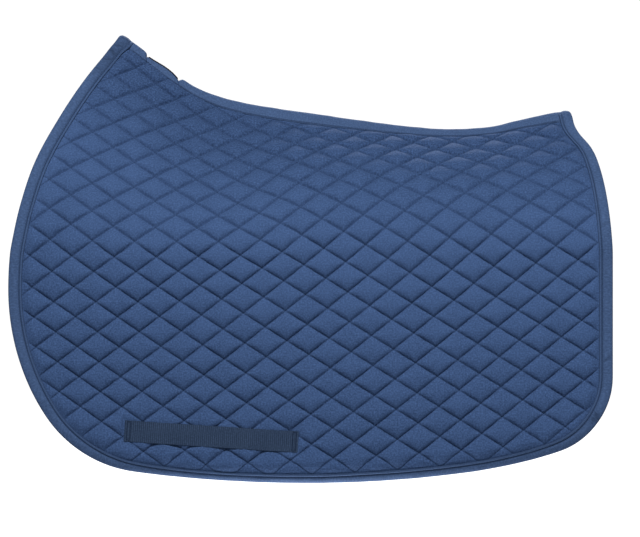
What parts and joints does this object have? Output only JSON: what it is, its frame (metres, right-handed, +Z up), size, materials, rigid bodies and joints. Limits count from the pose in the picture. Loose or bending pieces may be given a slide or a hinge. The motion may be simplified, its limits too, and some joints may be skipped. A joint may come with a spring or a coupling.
{
  "type": "saddle pad",
  "caption": "Quilted all-purpose saddle pad for a horse, with bound edges, a spine tape and girth keeper straps.",
  "frame": {"origin": "on the centre plane at the underside of the spine seam, half way along the pad", "axes": "+X along the horse's back towards the tail, +Y towards the horse's right (off) side, +Z up"},
  "size_m": [0.7153, 0.2914, 0.5451],
  "materials": {
    "navy_cotton": "quilted cotton twill",
    "navy_tape": "woven cotton binding tape",
    "navy_webbing": "ribbed polyester webbing",
    "navy_lining": "plain cotton lining",
    "white_wadding": "polyester wadding, inside the layers",
    "navy_thread": "sewing thread",
    "black_piping": "thin piping cord"
  },
  "bodies": {
    "ridge": {"near_ridge_outer_fabric": "navy_cotton", "near_ridge_wadding": "white_wadding", "near_ridge_lining": "navy_lining", "off_ridge_outer_fabric": "navy_cotton", "off_ridge_wadding": "white_wadding", "off_ridge_lining": "navy_lining", "spine_tape_front": "navy_tape", "spine_tape_rear": "navy_tape", "spine_tape_under": "navy_tape", "withers_tab": "navy_tape", "withers_tab_piping": "black_piping", "ridge_binding_front": "navy_tape", "ridge_binding_rear": "navy_tape"},
    "near_flap": {"near_flap_outer_fabric": "navy_cotton", "near_flap_wadding": "white_wadding", "near_flap_lining": "navy_lining", "near_flap_binding": "navy_tape", "near_girth_keeper": "navy_webbing", "near_keeper_stitching_front": "navy_thread", "near_keeper_stitching_rear": "navy_thread"},
    "off_flap": {"off_flap_outer_fabric": "navy_cotton", "off_flap_wadding": "white_wadding", "off_flap_lining": "navy_lining", "off_flap_binding": "navy_tape", "off_girth_keeper": "navy_webbing", "off_keeper_stitching_front": "navy_thread", "off_keeper_stitching_rear": "navy_thread"}
  },
  "joints": [
    {"name": "near_flap_fold", "type": "hinge", "parent": "ridge", "child": "near_flap", "pos_m": [0, -0.131, -0.16], "axis": [-1, 0, 0], "range_deg": [-24, 90]},
    {"name": "off_flap_fold", "type": "hinge", "parent": "ridge", "child": "off_flap", "pos_m": [0, 0.131, -0.16], "axis": [1, 0, 0], "range_deg": [-24, 90]}
  ]
}
